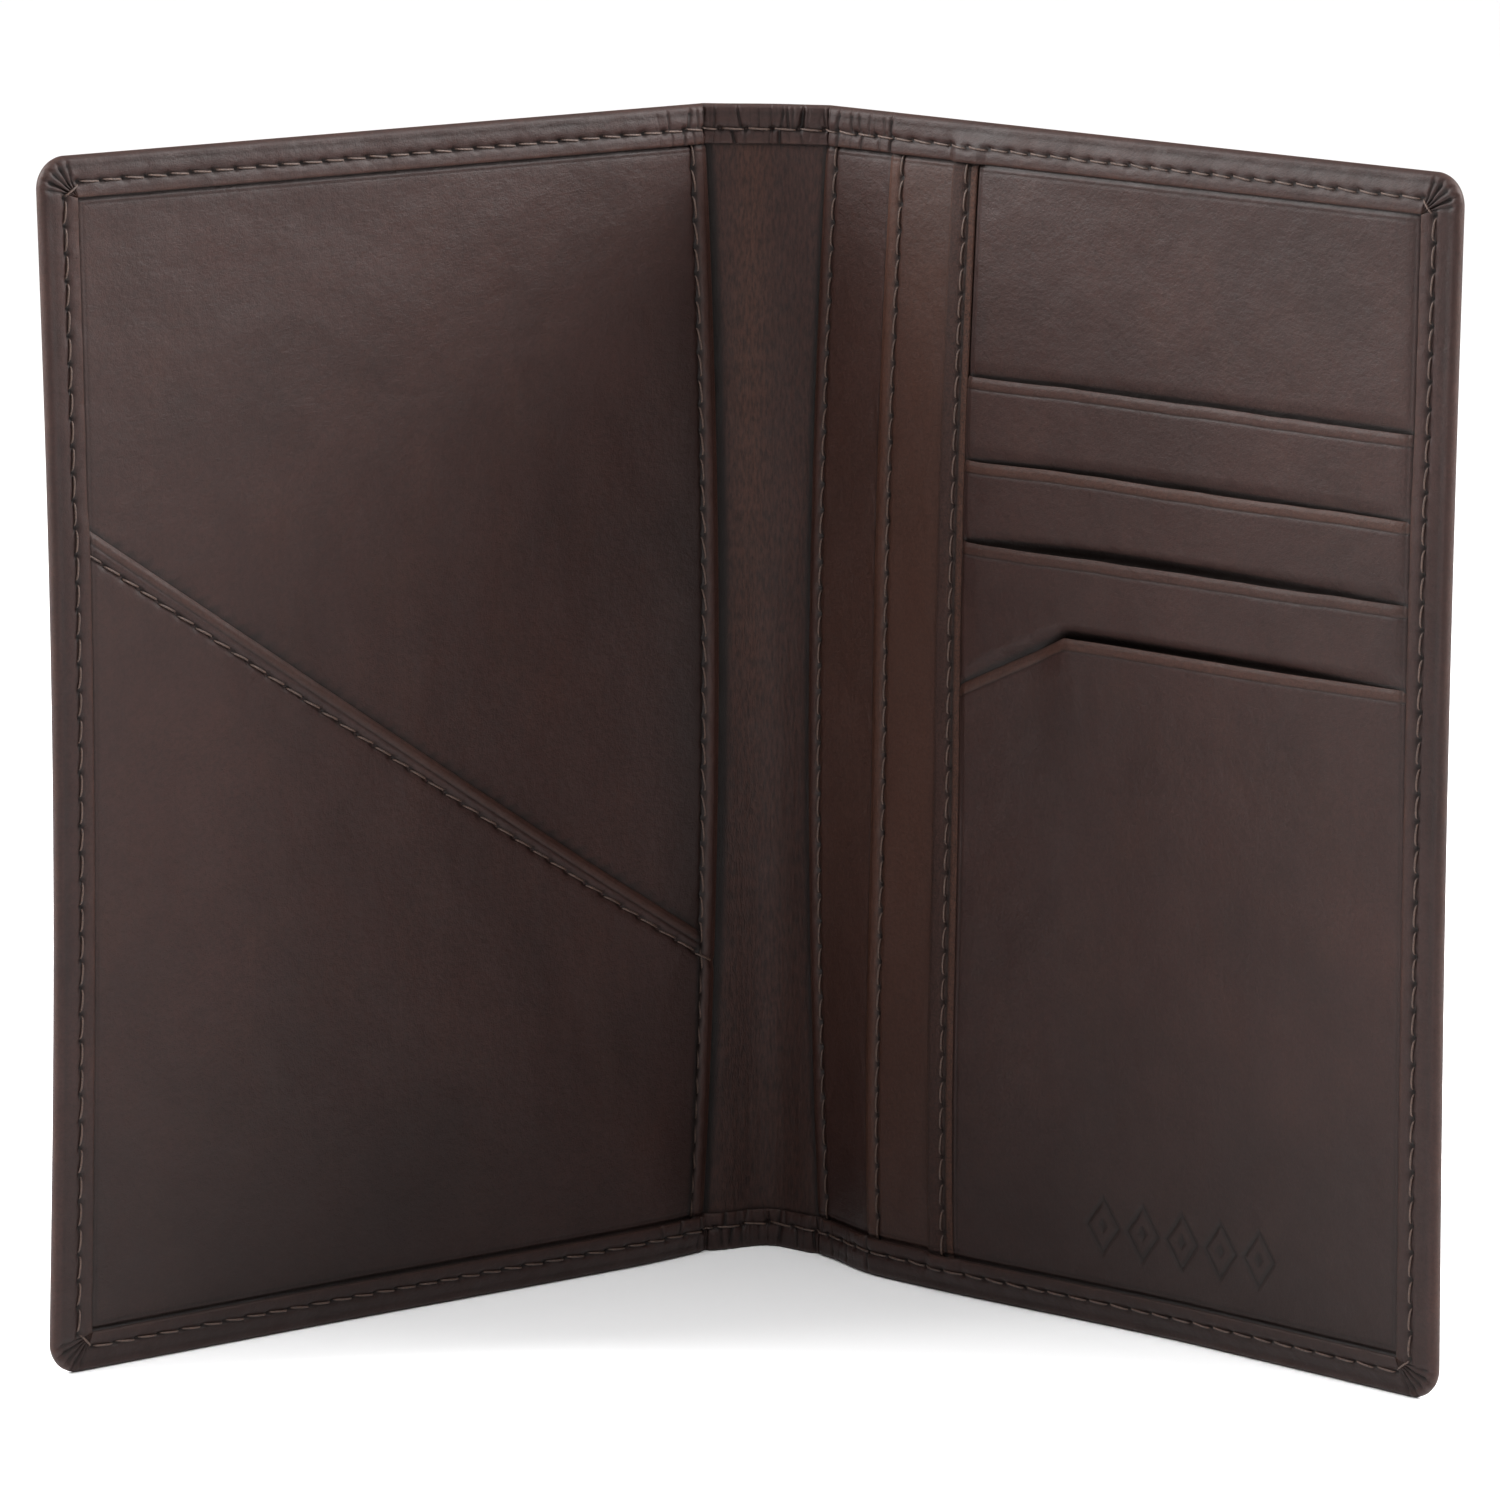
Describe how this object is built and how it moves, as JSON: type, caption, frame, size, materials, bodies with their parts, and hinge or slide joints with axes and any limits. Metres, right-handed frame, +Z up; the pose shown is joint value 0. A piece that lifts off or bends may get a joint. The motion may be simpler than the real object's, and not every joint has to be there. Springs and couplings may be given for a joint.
{
  "type": "passport holder wallet",
  "caption": "Folding leather travel wallet with a full-height passport sleeve, a diagonal pocket, slip pockets and card slots, standing half open.",
  "frame": {"origin": "centre of the standing wallet's footprint, on the plane that its bottom edges rest on", "axes": "+Z up along the spine, +X to the right across the open wallet, +Y from the open side towards the spine"},
  "size_m": [0.1614, 0.0742, 0.142],
  "materials": {
    "leather": "smooth dark brown leather, semi-gloss",
    "pocket_leather": "thin smooth dark brown leather, semi-gloss",
    "lining": "matte woven lining",
    "stiffener": "matte board",
    "thread": "waxed brown thread"
  },
  "bodies": {
    "spine": {"spine_leather": "leather", "spine_lining": "pocket_leather", "spine_turned_edge_top": "leather", "spine_turned_edge_bottom": "leather", "spine_stitching_top": "thread", "spine_stitching_bottom": "thread"},
    "left_cover": {"left_cover_leather": "leather", "left_stiffener": "stiffener", "left_lining": "lining", "left_turned_edge_top": "leather", "left_turned_edge_outer": "leather", "left_turned_edge_bottom": "leather", "left_edge_stitching": "thread", "passport_sleeve": "pocket_leather", "passport_sleeve_stitching": "thread", "diagonal_pocket": "pocket_leather", "diagonal_pocket_stitching": "thread"},
    "right_cover": {"right_cover_leather": "leather", "right_stiffener": "stiffener", "right_lining": "lining", "right_turned_edge_top": "leather", "right_turned_edge_outer": "leather", "right_turned_edge_bottom": "leather", "right_edge_stitching": "thread", "inner_slip_pocket": "pocket_leather", "inner_slip_pocket_stitching": "thread", "outer_slip_pocket": "pocket_leather", "outer_slip_pocket_stitching": "thread", "card_panel": "pocket_leather", "card_panel_binding": "pocket_leather", "card_panel_stitching": "thread", "card_slot_1": "pocket_leather", "card_slot_2": "pocket_leather", "card_slot_3": "pocket_leather", "front_card_pocket": "pocket_leather"}
  },
  "joints": [
    {"name": "left_crease", "type": "hinge", "parent": "spine", "child": "left_cover", "pos_m": [-0.00413, 0.03717, 0], "axis": [0, 0, 1], "range_deg": [-45.2, 44.8]},
    {"name": "right_crease", "type": "hinge", "parent": "spine", "child": "right_cover", "pos_m": [0.00999, 0.03569, 0], "axis": [0, 0, 1], "range_deg": [-51.7, 38.3]}
  ]
}
